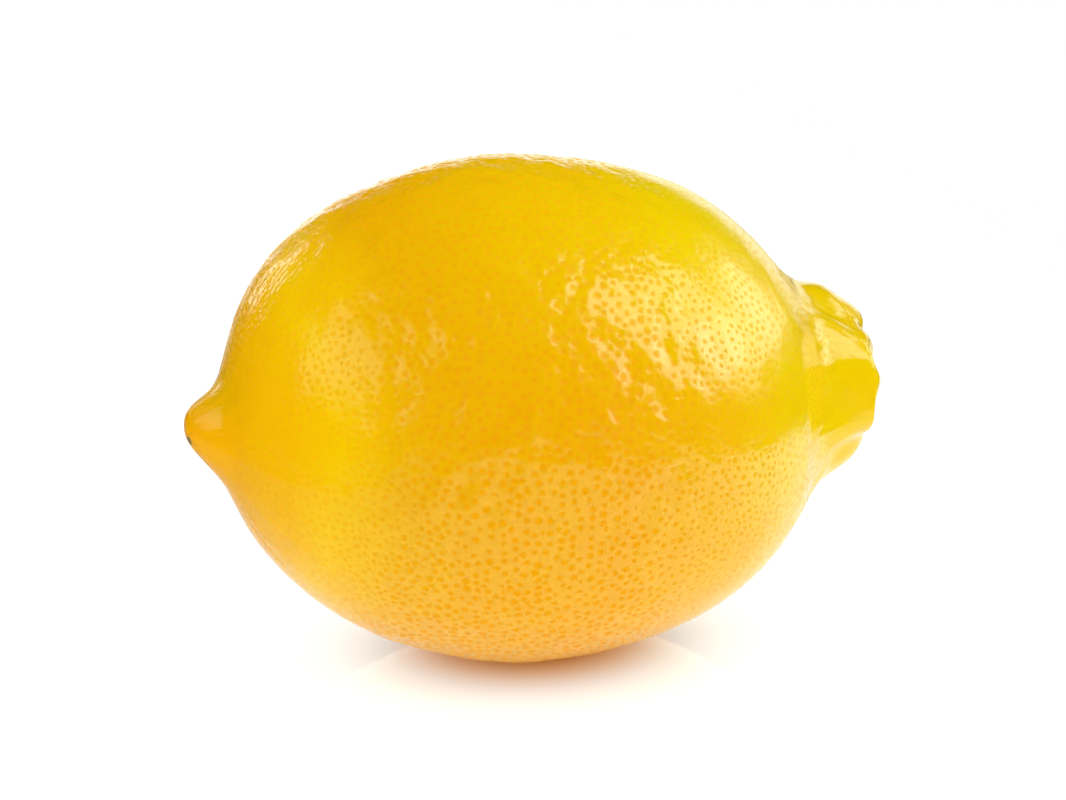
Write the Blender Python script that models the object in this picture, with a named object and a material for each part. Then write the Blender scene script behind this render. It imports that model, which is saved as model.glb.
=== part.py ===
"""A whole lemon lying on its side, modelled as the one solid that it grew as.

The stem neck points along +X and the nipple along -X. The origin is the middle of the fruit's
footprint on the surface that it lies on, with +Z up. Sizes below are in millimetres.
"""

import math

import bmesh
import bpy
from mathutils import Vector

MILLIMETRE = 0.001

# Half outline from the nipple's tip to the floor of the stem scar: control points of a smooth
# curve, as distance along the core from the widest place, and radius.
OUTLINE = (
    (-40.5, 0.0),
    (-40.2, 2.1),
    (-38.0, 4.4),
    (-35.6, 5.2),
    (-32.6, 15.3),
    (-25.0, 23.4),
    (-14.0, 28.4),
    (-2.0, 30.6),
    (10.0, 28.9),
    (20.0, 25.7),
    (28.0, 20.0),
    (33.0, 13.0),
    (37.0, 11.9),
    (41.0, 9.0),
    (41.4, 5.2),
    (39.6, 3.0),
    (39.6, 0.0),
)
SEGMENTS_ALONG = 52
SIDES = 60

# Furrows that run lengthwise down the neck: angle round the core from the front, in degrees,
# and depth at the neck's rim.
NECK_FURROWS = (
    (-76, 0.8),
    (-30, 0.9),
    (34, 0.3),
    (64, 1.0),
    (118, 0.9),
    (170, 0.7),
    (228, 0.9),
)
FURROW_HALF_WIDTH = 13.0
NECK_START, NECK_END = 29.0, 39.0

# Lumps on the rim of the neck: angle, half width in degrees, and how far each stands out.
RIM_LUMPS = (
    (14, 10, 1.1),
    (46, 13, 0.7),
    (90, 20, 1.2),
    (150, 18, 0.6),
    (255, 20, 0.5),
)
RIM_START, RIM_END = 38.5, 41.0

# The core falls a little towards the neck, which then turns up again, and sags at the root
# of the nipple.
CORE_FALL = 0.6
NECK_LIFT = 0.6
NIPPLE_SAG, NIPPLE_ROOT, NIPPLE_SAG_REACH = 0.7, -36.0, 2.5
REST_FLAT_DEPTH = 0.35
SHORTEST_EDGE = 0.05

PEEL_COLOUR = (0.93, 0.52, 0.01, 1.0)
PEEL_ROUGHNESS = 0.35


def spline_point(points, place):
    """Point at a place, counted in control points, on a uniform cubic B-spline."""
    first = min(int(place), len(points) - 4)
    t = place - first
    weights = (
        (1 - t) ** 3 / 6,
        (3 * t**3 - 6 * t**2 + 4) / 6,
        (-3 * t**3 + 3 * t**2 + 3 * t + 1) / 6,
        t**3 / 6,
    )
    nearby = points[first : first + 4]
    return tuple(sum(w * p[axis] for w, p in zip(weights, nearby)) for axis in (0, 1))


def outline_points():
    """The half outline as points, meeting the core squarely at both ends."""
    before = (OUTLINE[1][0], -OUTLINE[1][1])
    after = (OUTLINE[-2][0], -OUTLINE[-2][1])
    points = (before, *OUTLINE, after)
    spans = len(OUTLINE) - 1
    return [
        spline_point(points, spans * step / SEGMENTS_ALONG)
        for step in range(SEGMENTS_ALONG + 1)
    ]


def ease(start, end, value):
    """Rises smoothly from 0 at start to 1 at end."""
    t = min(max((value - start) / (end - start), 0.0), 1.0)
    return t * t * (3 - 2 * t)


def angle_apart(first, second):
    """Smallest difference between two angles in degrees."""
    return abs((first - second + 180) % 360 - 180)


def neck_point(along, across, height):
    """Where a point of the turned shape goes once the neck has its furrows and rim lumps."""
    radius = math.hypot(across, height)
    angle = math.degrees(math.atan2(height, -across))
    depth = sum(
        deep * math.exp(-((angle_apart(angle, at) / FURROW_HALF_WIDTH) ** 2))
        for at, deep in NECK_FURROWS
    )
    outer = ease(0.0, 6.0, radius)
    depth *= ease(NECK_START, NECK_END, along) * outer
    stand_out = sum(
        rise * math.exp(-((angle_apart(angle, at) / width) ** 2))
        for at, width, rise in RIM_LUMPS
    )
    along += stand_out * ease(RIM_START, RIM_END, along) * outer
    scale = 1 - depth / max(radius, 1.0)
    return along, across * scale, height * scale


def core_rise(along):
    """Height of the core above the straight line that the outline is turned round."""
    fall = CORE_FALL * along / NECK_END
    lift = NECK_LIFT * ease(NECK_START, NECK_END, along)
    sag = NIPPLE_SAG * math.exp(-(((along - NIPPLE_ROOT) / NIPPLE_SAG_REACH) ** 2))
    return lift - fall - sag


def turned_peel():
    """The outline turned round the core, as a closed mesh in millimetres."""
    mesh = bmesh.new()
    profile = [mesh.verts.new((along, 0, radius)) for along, radius in outline_points()]
    edges = [mesh.edges.new(pair) for pair in zip(profile, profile[1:])]
    bmesh.ops.spin(
        mesh,
        geom=profile + edges,
        cent=(0, 0, 0),
        axis=(1, 0, 0),
        angle=math.tau,
        steps=SIDES,
        use_merge=True,
    )
    bmesh.ops.remove_doubles(mesh, verts=mesh.verts, dist=0.001)
    bmesh.ops.recalc_face_normals(mesh, faces=mesh.faces)
    return mesh


def shape_ends(mesh):
    """Presses the furrows into the neck, raises its rim and bends the core."""
    for vertex in mesh.verts:
        rise = core_rise(vertex.co.x)
        vertex.co = neck_point(*vertex.co)
        vertex.co.z += rise


def flatten_underside(mesh):
    """Cuts the small flat spot that the fruit rests on."""
    level = min(vertex.co.z for vertex in mesh.verts) + REST_FLAT_DEPTH
    cut = bmesh.ops.bisect_plane(
        mesh,
        geom=mesh.verts[:] + mesh.edges[:] + mesh.faces[:],
        plane_co=(0, 0, level),
        plane_no=(0, 0, 1),
        clear_inner=True,
    )
    rim = [item for item in cut["geom_cut"] if isinstance(item, bmesh.types.BMEdge)]
    bmesh.ops.holes_fill(mesh, edges=rim, sides=0)
    bmesh.ops.dissolve_degenerate(mesh, edges=mesh.edges, dist=SHORTEST_EDGE)


def stand_on_origin(mesh):
    """Moves the fruit so that the middle of its footprint is the origin."""
    corners = [
        [choose(vertex.co[axis] for vertex in mesh.verts) for axis in range(3)]
        for choose in (min, max)
    ]
    lowest, highest = (Vector(corner) for corner in corners)
    middle = (lowest + highest) / 2
    bmesh.ops.translate(mesh, verts=mesh.verts, vec=(-middle.x, -middle.y, -lowest.z))


def peel_material():
    """Waxy yellow peel."""
    material = bpy.data.materials.new("peel")
    material.use_nodes = True
    shader = material.node_tree.nodes["Principled BSDF"]
    shader.inputs["Base Color"].default_value = PEEL_COLOUR
    shader.inputs["Roughness"].default_value = PEEL_ROUGHNESS
    shader.inputs["Metallic"].default_value = 0.0
    return material


def make_lemon():
    """The finished fruit as one object, in metres."""
    mesh = turned_peel()
    shape_ends(mesh)
    flatten_underside(mesh)
    stand_on_origin(mesh)
    bmesh.ops.scale(mesh, verts=mesh.verts, vec=(MILLIMETRE,) * 3)
    data = bpy.data.meshes.new("lemon")
    mesh.to_mesh(data)
    mesh.free()
    data.materials.append(peel_material())
    data.shade_smooth()
    lemon = bpy.data.objects.new("lemon", data)
    bpy.context.scene.collection.objects.link(lemon)


def main():
    """Clears the scene and makes the lemon."""
    for thing in list(bpy.data.objects):
        bpy.data.objects.remove(thing, do_unlink=True)
    make_lemon()


main()
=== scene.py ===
"""Looks of a whole lemon that lies on its side: pitted waxy peel, ribbed neck, nipple and stem scar.

The fruit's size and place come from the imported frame. Shape sizes are in millimetres, counted from
the widest place of the fruit: along the core towards the neck, across it towards the back, and up.
"""

import logging
import math
from dataclasses import dataclass
from enum import Enum

import bmesh
import bpy
import numpy as np
from mathutils import Matrix, Vector, noise
from mathutils.kdtree import KDTree


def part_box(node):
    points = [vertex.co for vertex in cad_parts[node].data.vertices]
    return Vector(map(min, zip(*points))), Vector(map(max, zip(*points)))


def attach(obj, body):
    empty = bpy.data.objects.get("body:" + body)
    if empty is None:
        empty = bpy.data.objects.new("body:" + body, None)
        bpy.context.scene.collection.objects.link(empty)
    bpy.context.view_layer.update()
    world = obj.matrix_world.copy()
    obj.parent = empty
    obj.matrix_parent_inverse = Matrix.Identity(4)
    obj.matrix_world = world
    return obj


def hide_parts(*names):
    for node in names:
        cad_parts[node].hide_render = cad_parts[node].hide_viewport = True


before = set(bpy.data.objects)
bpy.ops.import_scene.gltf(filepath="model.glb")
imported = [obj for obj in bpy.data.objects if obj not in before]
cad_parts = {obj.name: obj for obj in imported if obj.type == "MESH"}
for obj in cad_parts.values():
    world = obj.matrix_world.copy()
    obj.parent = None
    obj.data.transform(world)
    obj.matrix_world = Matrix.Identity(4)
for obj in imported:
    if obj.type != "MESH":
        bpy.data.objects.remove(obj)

LOG = logging.getLogger("lemon")
MILLIMETRE = 0.001
NEARBY_GLANDS = 3
Numbers = np.ndarray
Socket = bpy.types.NodeSocket
Colour = tuple[float, float, float]


def ease(start: float, end: float, value: Numbers | float) -> Numbers:
    """Rise smoothly from 0 at start to 1 at end.

    Args:
        start: where the rise begins; it may lie past the end, for a fall.
        end: where the rise is complete.
        value: where to look.

    Returns:
        The share of the rise that is done, 0 to 1.
    """
    share = np.clip((value - start) / (end - start), 0.0, 1.0)
    return share * share * (3 - 2 * share)


def hump(middle: float, reach: float, value: Numbers | float) -> Numbers:
    """Bell that is 1 at its middle and has died away at about twice its reach."""
    return np.exp(-(((value - middle) / reach) ** 2))


def degrees_apart(first: Numbers, second: float) -> Numbers:
    """Smallest difference between angles in degrees."""
    return np.abs((first - second + 180) % 360 - 180)


def heading(azimuth: float, elevation: float) -> Vector:
    """Direction away from the fruit.

    Args:
        azimuth: turn from its front by way of the neck, in degrees.
        elevation: height above the horizon, in degrees.

    Returns:
        The direction, of length 1.
    """
    turn, lift = math.radians(azimuth), math.radians(elevation)
    return Vector((math.sin(turn) * math.cos(lift), -math.cos(turn) * math.cos(lift), math.sin(lift)))


@dataclass(frozen=True)
class Slope:
    """Smooth change from one value to another.

    Attributes:
        start: where the change begins; it may lie past the end.
        end: where the change is complete.
        low: value at the start and before it.
        high: value at the end and past it.
    """

    start: float
    end: float
    low: float = 0.0
    high: float = 1.0

    def at(self, value: Numbers) -> Numbers:
        """Value of the change at each place."""
        return self.low + (self.high - self.low) * ease(self.start, self.end, value)


def together(slopes: tuple[Slope, ...], value: Numbers) -> Numbers:
    """Values of several slopes multiplied together, at each place."""
    return math.prod(slope.at(value) for slope in slopes)


@dataclass(frozen=True)
class Groove:
    """Furrow that runs lengthwise down the neck, or a rib where its depth is negative.

    Attributes:
        angle: place round the core in degrees, from the front by way of the top.
        depth: how deep it is at the neck's rim.
        half_width: how far it reaches to each side, in degrees.
        reach: where along the core it starts and is complete.
    """

    angle: float
    depth: float
    half_width: float = 13.0
    reach: tuple[float, float] = (29.0, 39.0)

    def press(self, along: Numbers, angle: Numbers) -> Numbers:
        """How far it presses the neck in at each place."""
        beside = hump(0, self.half_width, degrees_apart(angle, self.angle))
        return self.depth * ease(*self.reach, along) * beside


@dataclass(frozen=True)
class Lump:
    """Rounded bump on the neck's rim.

    Attributes:
        angle: place round the core in degrees.
        half_width: how far it reaches to each side, in degrees.
        rise: how far it stands out along the core.
    """

    angle: float
    half_width: float
    rise: float

    def at(self, angle: Numbers) -> Numbers:
        """Share of the rise at each place round the core."""
        return hump(0, self.half_width, degrees_apart(angle, self.angle))


@dataclass(frozen=True)
class Facet:
    """Flat place on the side of the neck.

    Attributes:
        angle: place round the core in degrees.
        half_width: how far it reaches to each side, in degrees.
        fade: where it fades at its sides, from outside to inside, as shares of the half width.
        bent_from: share of the half width past which its plane turns with the neck.
        away: distance of its plane from the core.
        reach: where along the core it starts and is complete.
        wall: distances from the core over which the neck's wall comes in.
        set_back: how far the rim draws back beside it.
    """

    angle: float = 9.0
    half_width: float = 31.0
    fade: tuple[float, float] = (1.6, 0.35)
    bent_from: float = 0.6
    away: float = 11.7
    reach: tuple[float, float] = (28.0, 36.5)
    wall: tuple[float, float] = (8.2, 9.8)
    set_back: float = 0.7

    def share(self, along: Numbers, radius: Numbers, angle: Numbers) -> Numbers:
        """How much of the facet there is.

        Args:
            along: distance along the core.
            radius: distance from the core.
            angle: place round the core in degrees.

        Returns:
            The share at each place, 0 to 1.
        """
        outside, inside = (self.half_width * share for share in self.fade)
        beside = ease(outside, inside, degrees_apart(angle, self.angle))
        return beside * ease(*self.reach, along) * ease(*self.wall, radius)

    def plane(self, angle: Numbers) -> Numbers:
        """Distance of the plane from the core at each place, out to its edges."""
        apart = np.minimum(degrees_apart(angle, self.angle), self.half_width * self.bent_from)
        return self.away / np.cos(np.radians(apart))


@dataclass(frozen=True)
class FruitForm:
    """Smooth shape of the fruit, before its pits.

    Attributes:
        outline: control points of the half outline, as distance along the core and radius, from
            the nipple's tip to the floor of the stem scar.
        grooves: furrows of the neck.
        lumps: bumps of the neck's rim.
        neck: where the neck's furrows start and are complete.
        rim: where the rim's lumps start and are complete.
        core_fall: how far the core falls towards the neck.
        neck_lift: how far the neck turns up again.
        nipple_root: where the nipple meets the body.
        nipple_sag: how far the core sags there, and over what reach.
        flat_depth: how much of the underside the resting flat takes off.
        folds: fine folds near both ends, each as its count round the core, share and start.
        neck_folds: how strong they are by the neck, along the core.
        nipple_folds: how strong they are by the nipple, along the core.
        fold_depths: their depth by the neck and by the nipple.
        facet: flat place on the front of the neck.
        calm: distances from the core over which furrows and lumps come in.
    """

    outline: tuple[tuple[float, float], ...] = (
        (-40.5, 0.0),
        (-40.2, 1.9),
        (-38.0, 4.05),
        (-35.7, 6.1),
        (-32.9, 14.7),
        (-25.0, 23.4),
        (-14.0, 28.2),
        (-2.0, 30.6),
        (10.0, 28.9),
        (20.0, 26.1),
        (28.0, 20.3),
        (33.0, 13.0),
        (37.0, 11.9),
        (41.0, 9.0),
        (41.4, 5.2),
        (39.6, 3.0),
        (39.6, 0.0),
    )
    grooves: tuple[Groove, ...] = (
        Groove(-76, 0.8),
        Groove(-30, 0.9, 10),
        Groove(34, 0.3),
        Groove(64, 1.0),
        Groove(118, 0.9),
        Groove(170, 0.7),
        Groove(228, 0.9),
    )
    lumps: tuple[Lump, ...] = (
        Lump(14, 10, 1.1),
        Lump(46, 13, 0.7),
        Lump(90, 20, 1.2),
        Lump(150, 18, 0.6),
        Lump(255, 20, 0.5),
    )
    neck: tuple[float, float] = (29.0, 39.0)
    rim: tuple[float, float] = (38.5, 41.0)
    core_fall: float = 1.0
    neck_lift: float = 1.5
    nipple_root: float = -36.0
    nipple_sag: tuple[float, float] = (0.95, 3.0)
    flat_depth: float = 0.35
    folds: tuple[tuple[float, float, float], ...] = ((23, 0.25, 1.3), (37, 0.15, 4.0), (51, 0.1, 0.0))
    neck_folds: tuple[Slope, Slope] = (Slope(25.0, 30.0), Slope(37.0, 32.0))
    nipple_folds: tuple[Slope, Slope] = (Slope(-27.0, -33.0), Slope(-38.0, -36.0))
    fold_depths: tuple[float, float] = (0.16, 0.14)
    facet: Facet = Facet()
    calm: Slope = Slope(0.0, 6.0)

    def smooth_outline(self, samples: int = 4000) -> tuple[Numbers, Numbers, Numbers]:
        """Follow the uniform cubic B-spline through the outline's control points.

        Args:
            samples: how many points to read from it.

        Returns:
            The way travelled along the outline as a share of its length, the distance along the
            core, and the radius, one of each for every sample.
        """
        points = np.array(self.outline)
        mirror = np.array((1.0, -1.0))
        points = np.vstack((points[1] * mirror, points, points[-2] * mirror))
        place = np.linspace(0, len(self.outline) - 1, samples)
        first = np.minimum(place.astype(int), len(self.outline) - 2)
        t = (place - first)[:, None]
        curve = (
            (1 - t) ** 3 * points[first]
            + (3 * t**3 - 6 * t**2 + 4) * points[first + 1]
            + (-3 * t**3 + 3 * t**2 + 3 * t + 1) * points[first + 2]
            + t**3 * points[first + 3]
        ) / 6
        steps = np.linalg.norm(np.diff(curve, axis=0), axis=1)
        way = np.concatenate(([0.0], np.cumsum(steps)))
        return way / way[-1], curve[:, 0], curve[:, 1]

    def core_rise(self, along: Numbers) -> Numbers:
        """Height of the core above the straight line that the outline is turned round.

        Args:
            along: distance along the core.

        Returns:
            The height at each place.
        """
        sag, reach = self.nipple_sag
        fall = self.core_fall * along / self.neck[1]
        lift = self.neck_lift * ease(*self.neck, along)
        return lift - fall - sag * hump(self.nipple_root, reach, along)

    def creases(self, along: Numbers, angle: Numbers) -> Numbers:
        """Depth of the fine folds that run up to the neck and round the nipple's root.

        Args:
            along: distance along the core.
            angle: place round the core in degrees.

        Returns:
            How far each place is pressed in.
        """
        turn = np.radians(angle)
        folds = 0.5 + sum(share * np.sin(count * turn + start) for count, share, start in self.folds)
        by_neck, by_nipple = self.fold_depths
        at_neck = together(self.neck_folds, along)
        at_nipple = together(self.nipple_folds, along)
        return folds * (by_neck * at_neck + by_nipple * at_nipple)

    def on_fruit(self, directions: Numbers) -> Numbers:
        """Where each direction of a unit sphere lies on the fruit.

        Args:
            directions: unit vectors, one row each; the sphere's poles are the fruit's ends.

        Returns:
            One row each: along the core, across it and up.
        """
        way, curve_along, curve_radius = self.smooth_outline()
        polar = np.arccos(np.clip(-directions[:, 0], -1, 1)) / math.pi
        along = np.interp(polar, way, curve_along)
        radius = np.interp(polar, way, curve_radius)
        around = np.arctan2(directions[:, 2], -directions[:, 1])
        angle = np.degrees(around)
        outer = self.calm.at(radius)
        flat = self.facet.share(along, radius, angle)
        radius = radius + (self.facet.plane(angle) - radius) * flat
        pressed = sum(groove.press(along, angle) for groove in self.grooves)
        pressed = pressed * outer + self.creases(along, angle)
        risen = sum(lump.rise * lump.at(angle) for lump in self.lumps)
        rise = self.core_rise(along)
        along = along + (risen - self.facet.set_back * flat) * ease(*self.rim, along) * outer
        scale = radius * (1 - pressed / np.maximum(radius, 1.0))
        return np.column_stack((along, -scale * np.cos(around), rise + scale * np.sin(around)))


class Gland(Enum):
    """Sort of oil gland: least gap to its neighbours, share of the gap that its dot fills, depth."""

    BODY = (0.95, 0.41, 0.036)
    SHOULDER = (0.80, 0.33, 0.019)
    END = (0.56, 0.28, 0.018)

    @property
    def gap(self) -> float:
        """Least distance to the next gland."""
        return self.value[0]

    @property
    def fill(self) -> float:
        """Radius of the dot as a share of the gap."""
        return self.value[1]

    @property
    def depth(self) -> float:
        """How far its middle is sunk."""
        return self.value[2]


@dataclass(frozen=True)
class GlandField:
    """Oil glands scattered over the peel.

    Attributes:
        seed: start of the random draws.
        gap_range: smallest and largest gap, as shares of the least one.
        dot_range: smallest and largest dot, as shares of the usual one.
        depth_range: shallowest and deepest pit, as shares of the usual one.
        stations: sort of gland at places along the core, from the first glands to the last.
        pit_width: radius of a pit as a share of its dot's radius.
    """

    seed: int = 7
    gap_range: tuple[float, float] = (0.88, 1.2)
    dot_range: tuple[float, float] = (0.8, 1.2)
    depth_range: tuple[float, float] = (0.5, 1.4)
    stations: tuple[tuple[float, Gland], ...] = (
        (-35.5, Gland.END),
        (-31.0, Gland.SHOULDER),
        (-25.0, Gland.SHOULDER),
        (-17.0, Gland.BODY),
        (5.0, Gland.BODY),
        (12.0, Gland.SHOULDER),
        (31.0, Gland.SHOULDER),
        (34.5, Gland.END),
    )
    pit_width: float = 2.05

    def blend(self, along: Numbers, measure: str) -> Numbers:
        """Measure of the glands at each distance along the core, blended from sort to sort.

        Args:
            along: distance along the core.
            measure: name of a measure of Gland.

        Returns:
            The measure at each place.
        """
        places = [place for place, _ in self.stations]
        return np.interp(along, places, [getattr(sort, measure) for _, sort in self.stations])

    def scatter(self, spots: Numbers) -> tuple[Numbers, Numbers, Numbers]:
        """Choose the glands' places from many spots, so that none lies too near another.

        Args:
            spots: candidate places on the smooth fruit, one row each.

        Returns:
            The places kept, each gland's dot radius, and each pit's depth.
        """
        draws = np.random.default_rng(self.seed)
        along = spots[:, 0]
        gaps = self.blend(along, "gap") * draws.uniform(*self.gap_range, len(spots))
        tree = tree_of(spots)
        free = (along > self.stations[0][0]) & (along < self.stations[-1][0])
        kept = []
        for index in draws.permutation(len(spots)):
            if not free[index]:
                continue
            kept.append(index)
            for _, near, _ in tree.find_range(spots[index], gaps[index]):
                free[near] = False
        size = draws.uniform(*self.dot_range, len(kept))
        radii = gaps[kept] * self.blend(along[kept], "fill") * size
        depths = self.blend(along[kept], "depth") * draws.uniform(*self.depth_range, len(kept))
        return spots[kept], radii, depths


@dataclass(frozen=True)
class Tone:
    """Colour of the peel at one place along the core.

    Attributes:
        place: share of the way from the nipple's tip to the neck's rim.
        colour: linear red, green and blue.
    """

    place: float
    colour: Colour


@dataclass(frozen=True)
class Blotches:
    """Noise in a finish.

    Attributes:
        breadth: how broad its blotches are.
        detail: how much finer noise is laid over them.
        amount: how strongly the noise counts.
    """

    breadth: float
    detail: float = 2.0
    amount: float = 1.0


@dataclass(frozen=True)
class NodeSheet:
    """Small helper that adds and joins shader nodes.

    Attributes:
        tree: the node tree that they go into.
    """

    tree: bpy.types.NodeTree

    def add(self, kind: str, inputs: dict | None = None, **settings: object) -> bpy.types.Node:
        """Add one node.

        Args:
            kind: the node's type without its prefix.
            inputs: values or sockets for its inputs, by name or number.
            settings: the node's own properties.

        Returns:
            The new node.
        """
        node = self.tree.nodes.new("ShaderNode" + kind)
        for name, value in settings.items():
            setattr(node, name, value)
        for key, value in (inputs or {}).items():
            self.feed(node.inputs[key], value)
        return node

    def feed(self, socket: Socket, value: object) -> None:
        """Join a socket to an input, or set the input's value.

        Args:
            socket: the input.
            value: the socket to join to it, or its value.
        """
        if isinstance(value, Socket):
            self.tree.links.new(value, socket)
        else:
            socket.default_value = value

    def math(self, operation: str, *values: object) -> Socket:
        """Result of a maths node on these values or sockets."""
        return self.add("Math", dict(enumerate(values)), operation=operation).outputs[0]

    def vector(self, operation: str, *values: object) -> Socket:
        """Add a vector maths node.

        Args:
            operation: what it does.
            values: values or sockets for its inputs, in order.

        Returns:
            Its result, a number or a vector as the operation gives.
        """
        node = self.add("VectorMath", dict(enumerate(values)), operation=operation)
        single = operation in ("LENGTH", "DISTANCE", "DOT_PRODUCT")
        return node.outputs["Value" if single else "Vector"]

    def eased(self, value: object, slope: Slope) -> Socket:
        """Value of a slope over a plain number."""
        inputs = dict(enumerate((value, slope.start, slope.end, slope.low, slope.high)))
        return self.add("MapRange", inputs, interpolation_type="SMOOTHSTEP").outputs[0]

    def eased_over(self, length: object, slope: Slope, origin: float = 0.0) -> Socket:
        """Value of a slope in millimetres over a length in metres, counted from the origin."""
        start, end = (origin + place * MILLIMETRE for place in (slope.start, slope.end))
        return self.eased(length, Slope(start, end, slope.low, slope.high))

    def noise(self, where: object, blotches: Blotches) -> Socket:
        """Noise from 0 to 1, with blotches measured in millimetres."""
        inputs = {"Vector": where, "Scale": 1 / (blotches.breadth * MILLIMETRE), "Detail": blotches.detail}
        return self.add("TexNoise", inputs).outputs["Fac"]

    def weighed(self, where: object, blotches: Blotches, unit: float = 1.0) -> Socket:
        """Noise multiplied by its amount."""
        return self.math("MULTIPLY", self.noise(where, blotches), blotches.amount * unit)

    def wobble(self, noise_value: Socket, amount: float) -> Socket:
        """Noise moved to swing round zero, by half the amount to each side."""
        return self.math("MULTIPLY_ADD", noise_value, amount, -amount / 2)

    def blend(self, share: object, first: object, second: object) -> Socket:
        """Number blended from the first to the second."""
        return self.add("Mix", {0: share, 2: first, 3: second}).outputs[0]

    def mix(self, share: object, first: object, second: object) -> Socket:
        """Mix two colours.

        Args:
            share: how much of the second colour there is.
            first: the first colour.
            second: the second colour.

        Returns:
            The mixed colour.
        """
        node = self.add("Mix", data_type="RGBA")
        for number, value in ((0, share), (6, first), (7, second)):
            self.feed(node.inputs[number], value)
        return node.outputs[2]

    def tint(self, share: object, colour: Socket, tint: object) -> Socket:
        """Colour multiplied by the tint, as far as the share says."""
        return self.mix(share, colour, self.vector("MULTIPLY", colour, tint))


def rgba(red: float, green: float, blue: float) -> tuple[float, float, float, float]:
    """Opaque colour from linear red, green and blue."""
    return (red, green, blue, 1.0)


@dataclass(frozen=True)
class PeelPlace:
    """Sockets that tell where on the peel a point is, and the places of the fruit's two ends.

    Attributes:
        own: the place in the piece's own coordinates.
        here: the same, counted from the core.
        along: distance along the core.
        height: height over the core.
        off_core: distance from the core.
        streaks: noise that streaks away from the core.
        tip: where the nipple's tip lies along the core, in metres.
        rim: where the neck's rim lies along the core, in metres.
    """

    own: Socket
    here: Socket
    along: Socket
    height: Socket
    off_core: Socket
    streaks: Socket
    tip: float
    rim: float


@dataclass(frozen=True)
class PeelTones:
    """Colours of the living peel between its dots, partly painted light: tones along the core and a painted
    lighter top.

    Attributes:
        tones: colours from the nipple to the neck, partly the peel's own tone and partly painted light: their
            green share follows how brightly each stretch is lit.
        wander: how the tones stray along the core.
        mottle: small patches of a deeper colour.
        mottled: how much of the deeper colour there is, by the mottle's noise.
        deeper: colour that the patches are multiplied by.
        painted_top_light: painted light, colours that the top is multiplied by, towards the nipple and
            towards the neck, to make it lighter and greener as if more lit.
        painted_top_light_height: how much of that painted light there is, by height over the core.
        painted_top_light_along: how much of that painted light there is along the core.
        painted_top_light_turn: where along the core the first colour of that painted light turns into the
            second.
        olive: colour of the unripe tinge on the nipple.
        olive_along: how much of it there is, by distance from the nipple's tip.
        olive_height: how much of it there is, by height over the core.
        olive_streaked: how much of it there is, by the streaks.
    """

    # Partly painted light: the green share of these tones follows how brightly each stretch is lit.
    tones: tuple[Tone, ...] = (
        Tone(0.0, (0.86, 0.40, 0.001)),
        Tone(0.09, (0.87, 0.48, 0.001)),
        Tone(0.15, (0.88, 0.55, 0.001)),
        Tone(0.24, (0.79, 0.43, 0.001)),
        Tone(0.32, (0.79, 0.41, 0.001)),
        Tone(0.52, (0.80, 0.40, 0.001)),
        Tone(0.68, (0.81, 0.47, 0.001)),
        Tone(0.82, (0.80, 0.58, 0.001)),
        Tone(1.0, (0.82, 0.57, 0.001)),
    )
    wander: Blotches = Blotches(20.0, 1.0, 0.12)
    mottle: Blotches = Blotches(4.0, 3.0)
    mottled: Slope = Slope(0.3, 0.7)
    deeper: Colour = (1.0, 0.95, 0.9)
    # Painted light: the top is made lighter and greener where light would fall on it most.
    painted_top_light: tuple[Colour, Colour] = ((1.0, 1.0, 1.0), (1.05, 1.38, 1.0))
    painted_top_light_height: Slope = Slope(5.0, 27.0)
    painted_top_light_along: Slope = Slope(30.0, 14.0, 0.1)
    painted_top_light_turn: Slope = Slope(-26.0, 4.0)
    olive: Colour = (0.66, 0.39, 0.001)
    olive_along: Slope = Slope(7.5, 2.5)
    olive_height: Slope = Slope(0.5, 6.0)
    olive_streaked: Slope = Slope(0.25, 0.7, 0.5, 0.95)

    def along_core(self, sheet: NodeSheet, place: PeelPlace) -> Socket:
        """Colour from the row of tones, partly painted light.

        Args:
            sheet: where the nodes go.
            place: where on the peel.

        Returns:
            The colour.
        """
        wander = sheet.wobble(sheet.noise(place.here, self.wander), self.wander.amount)
        share = sheet.math("DIVIDE", sheet.math("SUBTRACT", place.along, place.tip), place.rim - place.tip)
        ramp = sheet.add("ValToRGB", {0: sheet.math("ADD", share, wander)})
        elements = ramp.color_ramp.elements
        elements[0].color = rgba(*self.tones[0].colour)
        elements[1].color = rgba(*self.tones[-1].colour)
        for tone in self.tones[1:-1]:
            elements.new(tone.place).color = rgba(*tone.colour)
        return ramp.outputs[0]

    def colour(self, sheet: NodeSheet, place: PeelPlace) -> Socket:
        """Colour of the peel with its mottle, its painted lighter top and the unripe tinge.

        Args:
            sheet: where the nodes go.
            place: where on the peel.

        Returns:
            The colour.
        """
        mottled = sheet.eased(sheet.noise(place.here, self.mottle), self.mottled)
        colour = sheet.tint(mottled, self.along_core(sheet, place), self.deeper)
        # Painted light: a lighter, greener top, by height over the core.
        top = sheet.eased_over(place.height, self.painted_top_light_height)
        top = sheet.math("MULTIPLY", top, sheet.eased_over(place.along, self.painted_top_light_along))
        turned = sheet.eased_over(place.along, self.painted_top_light_turn)
        painted_top_light = sheet.mix(turned, *(rgba(*tint) for tint in self.painted_top_light))
        colour = sheet.tint(top, colour, painted_top_light)
        at_nipple = sheet.eased_over(place.along, self.olive_along, place.tip)
        upper = sheet.eased_over(place.height, self.olive_height)
        streaked = sheet.eased(place.streaks, self.olive_streaked)
        unripe = sheet.math("MULTIPLY", at_nipple, sheet.math("MULTIPLY", upper, streaked))
        return sheet.mix(unripe, colour, rgba(*self.olive))


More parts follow.
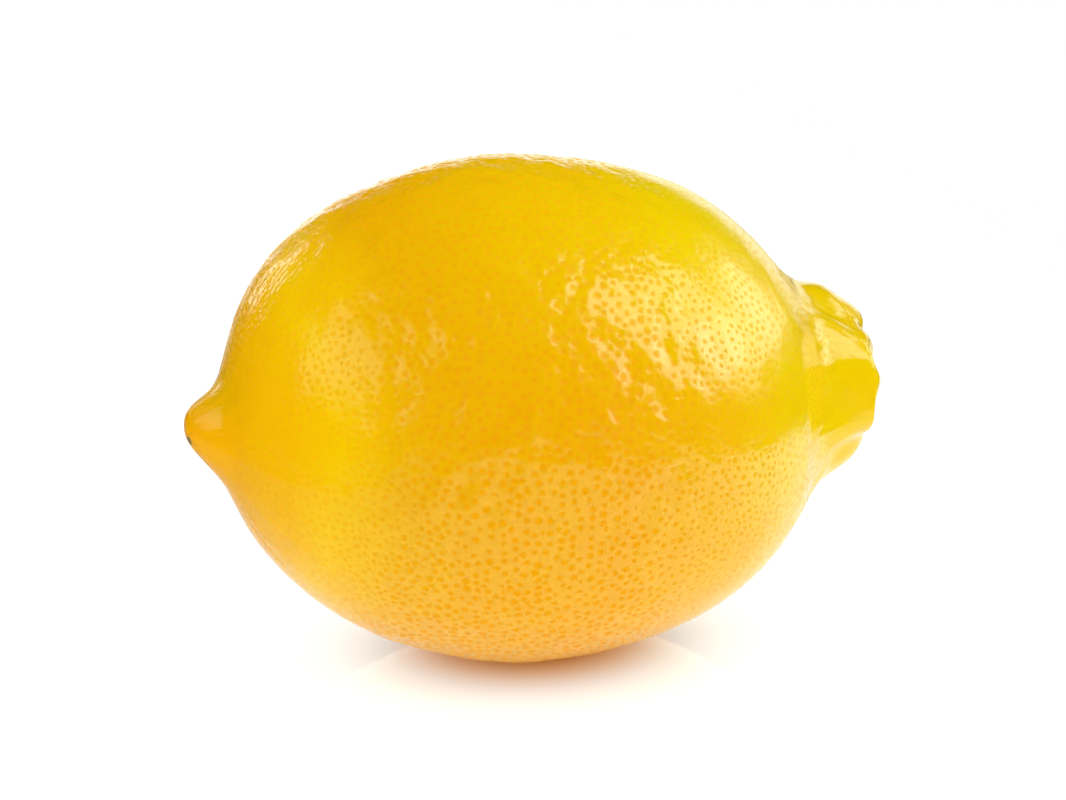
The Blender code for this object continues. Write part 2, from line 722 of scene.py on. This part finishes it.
@dataclass(frozen=True)
class PeelScars:
    """Dried tissue at the fruit's two ends.

    Attributes:
        style: colour of the speck on the nipple's tip.
        style_middle: its middle, counted from the tip.
        style_edge: how much of it there is, by distance from its middle.
        style_frayed: how its edge frays.
        stems: darker and lighter colour of the dish where the stalk was.
        bark: patches of the two.
        stem_along: how much of the dish's colour there is, by distance from the neck's rim.
        stem_edge: how much of it there is, by distance from the core.
        stem_frayed: how far its edge strays, from side to side.
    """

    style: Colour = (0.18, 0.13, 0.06)
    style_middle: tuple[float, float, float] = (0.3, -1.1, -0.3)
    style_edge: Slope = Slope(0.95, 0.7)
    style_frayed: Blotches = Blotches(0.5, 2.0, 0.6)
    stems: tuple[Colour, Colour] = ((0.27, 0.15, 0.045), (0.48, 0.30, 0.11))
    bark: Blotches = Blotches(0.6, 4.0)
    stem_along: Slope = Slope(-4.0, -3.0)
    stem_edge: Slope = Slope(3.1, 2.3)
    stem_frayed: float = 1.6

    def find(self, sheet: NodeSheet, place: PeelPlace) -> tuple[Socket, Socket]:
        """Nodes that find the two scars.

        Args:
            sheet: where the nodes go.
            place: where on the peel.

        Returns:
            How much of the style's scar and of the stem's scar is here, both 0 to 1.
        """
        ahead, across, up = (part * MILLIMETRE for part in self.style_middle)
        from_middle = sheet.vector("DISTANCE", place.here, (place.tip + ahead, across, up))
        frayed = sheet.weighed(place.here, self.style_frayed, MILLIMETRE)
        style = sheet.eased_over(sheet.math("ADD", from_middle, frayed), self.style_edge)
        beyond = sheet.eased_over(place.along, self.stem_along, place.rim)
        frayed = sheet.wobble(place.streaks, self.stem_frayed * MILLIMETRE)
        near = sheet.eased_over(sheet.math("ADD", place.off_core, frayed), self.stem_edge)
        return style, sheet.math("MULTIPLY", beyond, near)

    def cover(
        self, sheet: NodeSheet, place: PeelPlace, colour: Socket, scars: tuple[Socket, Socket]
    ) -> Socket:
        """Lay the scars' colours over the peel's.

        Args:
            sheet: where the nodes go.
            place: where on the peel.
            colour: colour of the living peel.
            scars: how much of the style's scar and of the stem's scar is here.

        Returns:
            The colour.
        """
        style, stem = scars
        colour = sheet.mix(style, colour, rgba(*self.style))
        bark = sheet.mix(sheet.noise(place.here, self.bark), *(rgba(*shade) for shade in self.stems))
        return sheet.mix(stem, colour, bark)


@dataclass(frozen=True)
class PeelRelief:
    """Fine relief that the mesh is too coarse for.

    Attributes:
        unit: height that a relief of 1 stands for.
        pebble: bumps between the pits.
        grain: finest grain.
        pit: how deep a pit counts.
        coarse_along: how strong pebble and pits are along the core.
        coarse_height: how strong they are, by height over the core.
        wrinkle: wrinkles of the neck and the nipple.
        neck_wrinkles: how strong they are, by distance from the neck's rim.
        upper_wrinkles: how strong they are there, by height over the core.
        nipple_wrinkles: how strong they are, by distance from the nipple's tip.
        neck_folds: how strong the folds by the neck are, by distance from its rim.
        neck_share: strength of the folds by the neck, against those by the nipple.
        folds_lost: share of the folds by the neck that gives way where the neck is wrinkled.
        nipple_folds: how strong the folds by the nipple are, by distance from its tip.
    """

    unit: float = 0.1
    pebble: Blotches = Blotches(1.1, 1.0, 0.45)
    grain: Blotches = Blotches(0.25, 1.0, 0.05)
    pit: float = 0.35
    coarse_along: tuple[Slope, Slope] = (Slope(17.0, 9.0, 0.3), Slope(-27.0, -21.0, 0.9))
    coarse_height: Slope = Slope(-16.0, -3.0, 0.22)
    wrinkle: Blotches = Blotches(1.5)
    neck_wrinkles: Slope = Slope(-9.0, -5.0)
    upper_wrinkles: Slope = Slope(1.0, 5.0, 0.3, 1.6)
    nipple_wrinkles: Slope = Slope(9.0, 4.0)
    neck_folds: Slope = Slope(-14.0, -9.0)
    neck_share: float = 0.5
    folds_lost: float = 0.8
    nipple_folds: Slope = Slope(14.0, 5.0)

    def ends(self, sheet: NodeSheet, place: PeelPlace) -> Socket:
        """Height of the folds and wrinkles by the neck and the nipple.

        Args:
            sheet: where the nodes go.
            place: where on the peel.

        Returns:
            The height.
        """
        on_neck = sheet.eased_over(place.along, self.neck_wrinkles, place.rim)
        on_nipple = sheet.eased_over(place.along, self.nipple_wrinkles, place.tip)
        upper = sheet.eased_over(place.height, self.upper_wrinkles)
        wrinkled = sheet.math("MULTIPLY_ADD", on_neck, upper, on_nipple)
        wrinkles = sheet.math("MULTIPLY", sheet.noise(place.here, self.wrinkle), wrinkled)
        near_neck = sheet.eased_over(place.along, self.neck_folds, place.rim)
        near_neck = sheet.math("SUBTRACT", near_neck, sheet.math("MULTIPLY", on_neck, self.folds_lost))
        near_nipple = sheet.eased_over(place.along, self.nipple_folds, place.tip)
        folded = sheet.math("MULTIPLY_ADD", near_neck, self.neck_share, near_nipple)
        return sheet.math("ADD", sheet.math("MULTIPLY", place.streaks, folded), wrinkles)

    def height(self, sheet: NodeSheet, place: PeelPlace, pit: Socket) -> Socket:
        """Height of the whole fine relief.

        Args:
            sheet: where the nodes go.
            place: where on the peel.
            pit: how far the peel is sunk by a pit.

        Returns:
            The height.
        """
        coarse = sheet.eased_over(place.height, self.coarse_height)
        for slope in self.coarse_along:
            coarse = sheet.math("MULTIPLY", coarse, sheet.eased_over(place.along, slope))
        pebble = sheet.math("MULTIPLY", sheet.weighed(place.here, self.pebble), coarse)
        sunk = sheet.math("MULTIPLY", sheet.math("MULTIPLY", pit, self.pit), coarse)
        raised = sheet.math("ADD", pebble, sheet.weighed(place.here, self.grain))
        raised = sheet.math("ADD", raised, self.ends(sheet, place))
        return sheet.math("SUBTRACT", raised, sunk)


@dataclass(frozen=True)
class PeelFinish:
    """Waxy yellow peel: tones along the fruit with painted light in them, duller gland dots, fine relief and
    two scars.

    Attributes:
        tones: colours between the dots, partly painted light.
        scars: dried tissue at both ends.
        relief: fine relief.
        streak_scale: how many streaks run away from the core.
        streak_detail: how much finer streaks are laid over them.
        dot: colour that the gland dots are multiplied by.
        dot_edge: how much of a dot there is, by distance from its middle in dot radii.
        dot_frayed: how its edge frays.
        pit_edge: how deep a pit is, by the same distance.
        worn: patches of rougher and smoother wax.
        wax_roughness: roughness of the smooth peel, by the noise of those patches.
        dot_roughness: roughness inside a gland dot.
        dry_roughness: roughness of the scars.
        gloss: specular level of the smooth peel, by height over the core.
        dot_gloss: specular level inside a dot, by height over the core.
        index: refractive index of the wax.
    """

    tones: PeelTones = PeelTones()
    scars: PeelScars = PeelScars()
    relief: PeelRelief = PeelRelief()
    streak_scale: float = 9.0
    streak_detail: float = 3.0
    dot: Colour = (0.99, 0.865, 0.24)
    dot_edge: Slope = Slope(1.15, 0.7)
    dot_frayed: Blotches = Blotches(0.4, 2.0, 0.6)
    pit_edge: Slope = Slope(1.9, 0.0)
    worn: Blotches = Blotches(3.0, 3.0)
    wax_roughness: Slope = Slope(0.3, 0.7, 0.12, 0.20)
    dot_roughness: float = 0.38
    dry_roughness: float = 0.85
    gloss: Slope = Slope(-29.0, -8.0, 0.225, 0.5)
    dot_gloss: Slope = Slope(0.0, 10.0, 0.04, 0.12)
    index: float = 1.42

    def find_place(self, sheet: NodeSheet, core_height: float, ends: tuple[float, float]) -> PeelPlace:
        """Nodes that tell where on the peel a point is.

        Args:
            sheet: where the nodes go.
            core_height: height of the fruit's core in metres.
            ends: where the nipple's tip and the neck's rim lie along the core, in metres.

        Returns:
            The sockets and the ends.
        """
        own = sheet.add("TexCoord").outputs["Object"]
        here = sheet.vector("SUBTRACT", own, (0.0, 0.0, core_height))
        along, across, height = sheet.add("SeparateXYZ", {0: here}).outputs
        flat = sheet.add("CombineXYZ", {1: across, 2: height}).outputs[0]
        turn = sheet.vector("NORMALIZE", flat)
        fineness = {"Scale": self.streak_scale, "Detail": self.streak_detail}
        streaks = sheet.add("TexNoise", {"Vector": turn, **fineness}).outputs["Fac"]
        off_core = sheet.vector("LENGTH", flat)
        return PeelPlace(own, here, along, height, off_core, streaks, *ends)

    def find_gland(self, sheet: NodeSheet, place: PeelPlace) -> tuple[Socket, Socket]:
        """Nodes that find the nearest gland.

        Args:
            sheet: where the nodes go.
            place: where on the peel.

        Returns:
            How much of a dot is here, and how far the peel is sunk by the pit, both 0 to 1.
        """
        centre = sheet.add("Attribute", attribute_name="gland_centre").outputs["Vector"]
        size = sheet.add("Attribute", attribute_name="gland_radius").outputs["Fac"]
        away = sheet.math("DIVIDE", sheet.vector("DISTANCE", place.own, centre), size)
        frayed = sheet.wobble(sheet.noise(place.here, self.dot_frayed), self.dot_frayed.amount)
        away = sheet.math("ADD", away, frayed)
        return sheet.eased(away, self.dot_edge), sheet.eased(away, self.pit_edge)

    def make(self, core_height: float, ends: tuple[float, float]) -> bpy.types.Material:
        """Make the material.

        Args:
            core_height: height of the fruit's core in metres.
            ends: where the nipple's tip and the neck's rim lie along the core, in metres.

        Returns:
            The material, for the mesh that carries the gland attributes.
        """
        material = bpy.data.materials.new("waxy_peel")
        material.use_nodes = True
        sheet = NodeSheet(material.node_tree)
        shader = material.node_tree.nodes["Principled BSDF"]
        place = self.find_place(sheet, core_height, ends)
        dot, pit = self.find_gland(sheet, place)
        scars = self.scars.find(sheet, place)

        colour = sheet.tint(dot, self.tones.colour(sheet, place), self.dot)
        sheet.feed(shader.inputs["Base Color"], self.scars.cover(sheet, place, colour, scars))

        rough = sheet.eased(sheet.noise(place.here, self.worn), self.wax_roughness)
        rough = sheet.blend(dot, rough, self.dot_roughness)
        dry = sheet.math("MAXIMUM", *scars)
        sheet.feed(shader.inputs["Roughness"], sheet.blend(dry, rough, self.dry_roughness))

        shine = sheet.eased_over(place.height, self.gloss)
        dull = sheet.eased_over(place.height, self.dot_gloss)
        sheet.feed(shader.inputs["Specular IOR Level"], sheet.blend(dot, shine, dull))
        shader.inputs["IOR"].default_value = self.index

        height = self.relief.height(sheet, place, pit)
        unit = self.relief.unit * MILLIMETRE
        bump = sheet.add("Bump", {"Height": height, "Distance": unit, "Strength": 1.0})
        sheet.feed(shader.inputs["Normal"], bump.outputs[0])
        return material


@dataclass
class LemonPeel:
    """The fruit's outside as one closed mesh.

    Attributes:
        form: the smooth shape.
        glands: the pits.
        finish: the material.
        rows: faces along each edge of the cube that the mesh starts as.
        pit_depth: how deep the pits are, by height over the core.
        swell: height and breadth of the body's slow unevenness.
        swell_along: how strong it is along the core.
        pebble: height of the pebbly relief between the pits, its breadth along the core and round it.
        pebble_along: how strong it is along the core.
        pebble_height: how strong it is, by height over the core.
        knobs: height and breadth of the knobs of the neck.
        knobs_along: how strong they are along the core.
        knobs_lost: share of the knobs that the flat face of the neck takes away.
    """

    form: FruitForm
    glands: GlandField
    finish: PeelFinish
    rows: int = 128
    pit_depth: Slope = Slope(-16.0, -3.0, 0.3)
    swell: tuple[float, float] = (0.22, 13.0)
    swell_along: tuple[Slope, Slope] = (Slope(-38.0, -30.0), Slope(38.0, 30.0))
    pebble: tuple[float, float, float] = (0.33, 2.0, 3.2)
    pebble_along: tuple[Slope, ...] = (
        Slope(-36.0, -31.0),
        Slope(-27.0, -21.0, 0.4),
        Slope(17.0, 9.0, 0.2),
        Slope(36.0, 30.0),
    )
    pebble_height: tuple[Slope, Slope] = (Slope(-16.0, -3.0, 0.35), Slope(20.0, 28.0, 1.0, 0.5))
    knobs: tuple[float, float] = (0.55, 4.2)
    knobs_along: Slope = Slope(31.0, 36.0)
    knobs_lost: float = 0.8

    def round_mesh(self) -> bpy.types.Mesh:
        """Make a cube of small square faces, whose points then move to their places on the fruit.

        Returns:
            The mesh.
        """
        shape = bmesh.new()
        bmesh.ops.create_cube(shape, size=2.0)
        bmesh.ops.subdivide_edges(shape, edges=shape.edges[:], cuts=self.rows - 1, use_grid_fill=True)
        mesh = bpy.data.meshes.new("lemon_peel")
        shape.to_mesh(mesh)
        shape.free()
        return mesh

    def uneven(self, points: Numbers) -> Numbers:
        """How far each point stands out through the slow unevenness and the pebbly relief.

        Args:
            points: points of the smooth fruit.

        Returns:
            The height at each point.
        """
        along, across, up = points.T
        swell, swell_breadth = self.swell
        slow = bumps(points / swell_breadth) * together(self.swell_along, along)
        pebble, lengthwise, round_core = self.pebble
        quick = bumps(points / (lengthwise, round_core, round_core))
        quick = quick * together(self.pebble_along, along) * together(self.pebble_height, up)
        knob, knob_breadth = self.knobs
        angle = np.degrees(np.arctan2(up, -across))
        flat = self.form.facet.share(along, np.hypot(across, up), angle)
        lumpy = bumps(points / knob_breadth) * self.knobs_along.at(along) * (1 - self.knobs_lost * flat)
        return knob * lumpy + swell * slow + pebble * quick

    def build(self) -> bpy.types.Object:
        """Shape, pit, place and dress the peel.

        Returns:
            The finished object.
        """
        mesh = self.round_mesh()
        directions = np.tan(read_rows(mesh.vertices, "co") * math.pi / 4)
        directions /= np.linalg.norm(directions, axis=1)[:, None]
        points = self.form.on_fruit(directions)
        write_points(mesh, points)
        normals = read_rows(mesh.vertex_normals, "vector")
        centres = read_rows(mesh.polygons, "center")
        places, radii, depths = self.glands.scatter(centres)
        depths = depths * self.pit_depth.at(places[:, 2])
        raised = self.uneven(points) - self.sunk(points, places, radii, depths)
        points = points + normals * raised[:, None]
        scale, shift = self.fit(points)
        write_points(mesh, self.settle(points * scale + shift))
        middles, sizes = self.nearest_glands(centres, places, radii)
        self.store_glands(mesh, middles * scale + shift, sizes * scale)
        mesh.materials.append(self.finish.make(shift[2], self.ends()))
        mesh.shade_smooth()
        peel = bpy.data.objects.new("lemon_peel", mesh)
        bpy.context.scene.collection.objects.link(peel)
        LOG.info("lemon_peel: %d faces, %d glands", len(mesh.polygons), len(places))
        return peel

    def sunk(self, points: Numbers, places: Numbers, radii: Numbers, depths: Numbers) -> Numbers:
        """How deep each point of the mesh lies in a pit.

        Args:
            points: points of the smooth fruit.
            places: middles of the glands.
            radii: radius of each gland's dot.
            depths: depth of each pit.

        Returns:
            The depth at each point.
        """
        tree = tree_of(places)
        deep = np.zeros(len(points))
        for number, point in enumerate(points):
            for _, index, away in tree.find_n(point, NEARBY_GLANDS):
                share = away / (radii[index] * self.glands.pit_width)
                if share < 1:
                    deep[number] = max(deep[number], depths[index] * (1 - share**2) ** 2)
        return deep

    def fit(self, points: Numbers) -> tuple[float, Numbers]:
        """How the shape goes into the frame's box.

        Args:
            points: the shape, in millimetres.

        Returns:
            The scale to metres, and where the shape's zero goes in metres.
        """
        low, high = (np.array(corner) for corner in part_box("lemon"))
        shape_low, shape_high = points.min(axis=0), points.max(axis=0)
        scale = (high[0] - low[0]) / (shape_high[0] - shape_low[0])
        shift = (low + high) / 2 - (shape_low + shape_high) / 2 * scale
        shift[2] = low[2] - (shape_low[2] + self.form.flat_depth) * scale
        return scale, shift

    def settle(self, points: Numbers) -> Numbers:
        """Flatten the underside where the fruit rests.

        Args:
            points: the shape in the frame.

        Returns:
            The shape with nothing below the resting flat.
        """
        low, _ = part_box("lemon")
        points[:, 2] = np.maximum(points[:, 2], low.z)
        return points

    def ends(self) -> tuple[float, float]:
        """Where the nipple's tip and the neck's rim lie along the core, in metres."""
        low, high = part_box("lemon")
        return low.x, high.x

    def nearest_glands(self, centres: Numbers, places: Numbers, radii: Numbers) -> tuple[Numbers, Numbers]:
        """The gland that each face lies nearest to, counted in dot radii.

        Args:
            centres: middles of the faces on the smooth fruit.
            places: middles of the glands.
            radii: radius of each gland's dot.

        Returns:
            The middle and the radius of each face's gland.
        """
        tree = tree_of(places)
        nearest = np.empty(len(centres), int)
        for number, centre in enumerate(centres):
            close = tree.find_n(centre, NEARBY_GLANDS)
            nearest[number] = min(close, key=lambda found: found[2] / radii[found[1]])[1]
        return places[nearest], radii[nearest]

    def store_glands(self, mesh: bpy.types.Mesh, middles: Numbers, sizes: Numbers) -> None:
        """Give each face its gland's measures in metres, for the material.

        Args:
            mesh: the peel's mesh.
            middles: middle of each face's gland.
            sizes: radius of the dot of each face's gland.
        """
        centres = mesh.attributes.new("gland_centre", "FLOAT_VECTOR", "FACE")
        centres.data.foreach_set("vector", middles.ravel())
        radii = mesh.attributes.new("gland_radius", "FLOAT", "FACE")
        radii.data.foreach_set("value", sizes)


def bumps(points: Numbers) -> Numbers:
    """Height of a smooth noise at each point, whose bumps are about 1 across."""
    return np.array([noise.noise(Vector(point)) for point in points])


def tree_of(places: Numbers) -> KDTree:
    """Make a search tree.

    Args:
        places: the places that it holds, one row each.

    Returns:
        The tree, with each place under its row number.
    """
    tree = KDTree(len(places))
    for index, place in enumerate(places):
        tree.insert(place, index)
    tree.balance()
    return tree


def read_rows(items: bpy.types.bpy_prop_collection, measure: str) -> Numbers:
    """Read one measure of all the points, normals or faces of a mesh.

    Args:
        items: the mesh's points, normals or faces.
        measure: name of the measure.

    Returns:
        The values, one row of three each.
    """
    values = np.empty(len(items) * 3, np.float32)
    items.foreach_get(measure, values)
    return values.reshape(-1, 3).astype(float)


def write_points(mesh: bpy.types.Mesh, points: Numbers) -> None:
    """Move the mesh's points.

    Args:
        mesh: the mesh.
        points: their new places, one row each.
    """
    mesh.vertices.foreach_set("co", points.astype(np.float32).ravel())
    mesh.update()


@dataclass(frozen=True)
class Softbox:
    """Large soft light that shows only as a reflection.

    Attributes:
        name: what it is called.
        azimuth: its turn round the fruit in degrees, from the front by way of the neck.
        elevation: its height above the horizon in degrees.
        distance: how far away it stands, in metres.
        size: its width and height in metres.
        radiance: how bright its middle is.
        fade: share of its width and height over which it fades at each edge.
    """

    name: str
    azimuth: float
    elevation: float
    distance: float
    size: tuple[float, float]
    radiance: float
    fade: float = 0.2

    def place(self, target: Vector) -> None:
        """Stand the light so that it faces the fruit.

        Args:
            target: what it faces.
        """
        light = bpy.data.lights.new(self.name, "AREA")
        light.shape = "RECTANGLE"
        light.size, light.size_y = self.size
        light.energy = self.radiance * math.pi * self.size[0] * self.size[1]
        self.soften(light)
        stand = bpy.data.objects.new(self.name, light)
        away = heading(self.azimuth, self.elevation)
        stand.location = target + away * self.distance
        stand.rotation_euler = away.to_track_quat("Z", "Y").to_euler()
        stand.visible_diffuse = False
        stand.visible_camera = False
        bpy.context.scene.collection.objects.link(stand)

    def soften(self, light: bpy.types.Light) -> None:
        """Let the light fade towards its edges.

        Args:
            light: the light.
        """
        light.use_nodes = True
        sheet = NodeSheet(light.node_tree)
        spot = sheet.add("NewGeometry").outputs["Parametric"]
        across, up = sheet.add("SeparateXYZ", {0: spot}).outputs[:2]
        edge, middle = 0.0, 0.5
        shares = [
            sheet.eased(sheet.math("PINGPONG", side, middle), Slope(edge, self.fade)) for side in (across, up)
        ]
        strength = light.node_tree.nodes["Emission"].inputs["Strength"]
        sheet.feed(strength, sheet.math("MULTIPLY", *shares))


@dataclass(frozen=True)
class SkyFill:
    """Even light from one half of the surroundings, which no surface mirrors.

    Attributes:
        name: what it is called.
        azimuth: turn of its middle round the fruit in degrees.
        elevation: height of its middle above the horizon in degrees.
        radiance: how bright it is.
    """

    name: str
    azimuth: float
    elevation: float
    radiance: float

    def place(self) -> None:
        """Aim the light at the fruit."""
        light = bpy.data.lights.new(self.name, "SUN")
        light.angle = math.pi
        light.energy = self.radiance * math.pi
        light.cycles.use_multiple_importance_sampling = False
        stand = bpy.data.objects.new(self.name, light)
        stand.rotation_euler = heading(self.azimuth, self.elevation).to_track_quat("Z", "Y").to_euler()
        stand.visible_glossy = False
        bpy.context.scene.collection.objects.link(stand)


@dataclass(frozen=True)
class WhiteAcrylic:
    """Glossy white table top, lit from within, with a painted shadow round the foot of the fruit and painted
    orange bounce light near it.

    Attributes:
        narrow: how much shorter a distance across the table counts, to make the painted shadow patch wider.
        glow_with_painted_shadow: how bright the table's own light is, by distance from the fruit's foot; dim
            near the foot as a painted shadow.
        painted_bounce: how much painted orange bounce light from the fruit it shows, by that distance.
        painted_bounce_tint: what its own light is multiplied by there, for the painted bounce light.
        pale: colour of its surface.
        painted_bounce_colour: colour of its surface under the painted bounce light.
        mirrored: how bright it is in reflections, from its left end rightwards.
        roughness: how rough it is.
    """

    narrow: float = 0.85
    # Painted shadow round the fruit's foot, and painted orange bounce light beside it.
    glow_with_painted_shadow: Slope = Slope(3.0, 24.0, 0.09, 0.8)
    painted_bounce: Slope = Slope(16.0, 5.0)
    painted_bounce_tint: Colour = (1.0, 0.55, 0.12)
    pale: Colour = (0.42, 0.42, 0.42)
    painted_bounce_colour: Colour = (0.75, 0.46, 0.14)
    mirrored: Slope = Slope(-70.0, -12.0, 0.12)
    roughness: float = 0.05

    def make(self) -> bpy.types.Material:
        """Make the material.

        Returns:
            The material.
        """
        material = bpy.data.materials.new("white_acrylic")
        material.use_nodes = True
        sheet = NodeSheet(material.node_tree)
        shader = material.node_tree.nodes["Principled BSDF"]
        here = sheet.add("TexCoord").outputs["Object"]
        away = sheet.vector("LENGTH", sheet.vector("MULTIPLY", here, (self.narrow, 1.0, 1.0)))
        side = sheet.add("SeparateXYZ", {0: here}).outputs[0]
        mirrored = sheet.eased_over(side, self.mirrored)
        unmirrored = sheet.math("SUBTRACT", 1.0, sheet.add("LightPath").outputs["Is Glossy Ray"])
        faded = sheet.math("MAXIMUM", mirrored, unmirrored)
        # The table's own light dims near the fruit's foot as a painted shadow, and turns orange there as
        # painted bounce light.
        glow_with_painted_shadow = sheet.eased_over(away, self.glow_with_painted_shadow)
        painted_bounce = sheet.eased_over(away, self.painted_bounce)
        tint = sheet.mix(painted_bounce, rgba(1, 1, 1), rgba(*self.painted_bounce_tint))
        base = sheet.mix(painted_bounce, rgba(*self.pale), rgba(*self.painted_bounce_colour))
        sheet.feed(shader.inputs["Base Color"], sheet.mix(faded, rgba(0, 0, 0), base))
        sheet.feed(shader.inputs["Emission Color"], tint)
        sheet.feed(shader.inputs["Emission Strength"], sheet.math("MULTIPLY", glow_with_painted_shadow, faded))
        shader.inputs["Roughness"].default_value = self.roughness
        return material


@dataclass(frozen=True)
class Studio:
    """White table top, white surroundings, softboxes and camera.

    Attributes:
        boxes: the lights that the peel mirrors.
        fills: the even light from above and below.
        acrylic: the table's finish.
        table_low: the table's near left corner, in metres.
        table_high: the table's far right corner, in metres.
        raised: how far over the fruit's middle the camera aims, in metres.
        azimuth: the camera's turn round the fruit in degrees.
        elevation: the camera's height above the horizon in degrees.
        distance: from the camera to the fruit's middle, in metres.
        lens: focal length in millimetres.
        nearest: how near to it the camera still sees, in metres.
    """

    boxes: tuple[Softbox, ...] = (
        Softbox("key_softbox", 88, 23, 1.2, (1.6, 0.90), 4.6, 0.35),
        Softbox("key_edge_softbox", 58, 38, 1.2, (0.85, 1.25), 4.2, 0.15),
        Softbox("left_softbox", -73, 30, 1.2, (1.5, 1.1), 1.65, 0.3),
        Softbox("rear_softbox", -158, 13, 1.2, (0.2, 0.55), 3.0),
        Softbox("low_backdrop", 155, 4.0, 1.5, (1.9, 0.50), 1.4),
    )
    fills: tuple[SkyFill, ...] = (
        SkyFill("fill_above", 84, 63, 1.15),
        SkyFill("fill_below", -96, -63, 0.95),
    )
    acrylic: WhiteAcrylic = WhiteAcrylic()
    table_low: tuple[float, float] = (-0.10, -0.7)
    table_high: tuple[float, float] = (0.14, 3.0)
    raised: float = 0.00054
    azimuth: float = -16.0
    elevation: float = 17.0
    distance: float = 0.330
    lens: float = 94.5
    nearest: float = 0.01

    def table(self) -> None:
        """Make the table top that the fruit lies on."""
        shape = bmesh.new()
        middle = [(low + high) / 2 for low, high in zip(self.table_low, self.table_high)]
        half = [(high - low) / 2 for low, high in zip(self.table_low, self.table_high)]
        place = Matrix.Translation((*middle, 0.0)) @ Matrix.Diagonal((*half, 1.0, 1.0))
        bmesh.ops.create_grid(shape, x_segments=1, y_segments=1, size=1.0, matrix=place)
        mesh = bpy.data.meshes.new("white_table")
        shape.to_mesh(mesh)
        shape.free()
        mesh.materials.append(self.acrylic.make())
        top = bpy.data.objects.new("white_table", mesh)
        bpy.context.scene.collection.objects.link(top)

    def surroundings(self) -> None:
        """Make the plain white world, which only the camera sees; the fills stand in for its light."""
        world = bpy.data.worlds.new("studio")
        bpy.context.scene.world = world
        world.use_nodes = True
        world.cycles.sampling_method = "NONE"
        sheet = NodeSheet(world.node_tree)
        background = world.node_tree.nodes["Background"]
        sheet.feed(background.inputs["Strength"], sheet.add("LightPath").outputs["Is Camera Ray"])
        background.inputs["Color"].default_value = rgba(1, 1, 1)

    def camera(self, target: Vector) -> None:
        """Make the camera and aim it.

        Args:
            target: what it looks at.
        """
        data = bpy.data.cameras.new("camera")
        data.lens = self.lens
        data.clip_start = self.nearest
        eye = bpy.data.objects.new("camera", data)
        away = heading(self.azimuth, self.elevation)
        eye.location = target + away * self.distance
        eye.rotation_euler = away.to_track_quat("Z", "Y").to_euler()
        bpy.context.scene.collection.objects.link(eye)
        bpy.context.scene.camera = eye

    def set_up(self) -> None:
        """Make the whole studio round the fruit."""
        low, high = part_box("lemon")
        target = (low + high) / 2
        self.table()
        self.surroundings()
        for box in self.boxes:
            box.place(target)
        for fill in self.fills:
            fill.place()
        self.camera(target + Vector((0.0, 0.0, self.raised)))
        bpy.context.scene.view_settings.view_transform = "Standard"
        LOG.info("studio: %d lights", len(self.boxes) + len(self.fills))


def main() -> None:
    """Build the peel and the studio, and say which body the peel belongs to."""
    logging.basicConfig(level=logging.INFO, format="%(name)s: %(message)s")
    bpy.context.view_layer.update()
    Studio().set_up()
    peel = LemonPeel(FruitForm(), GlandField(), PeelFinish()).build()
    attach(peel, "root")
    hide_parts("lemon")


if __name__ == "__main__":
    main()
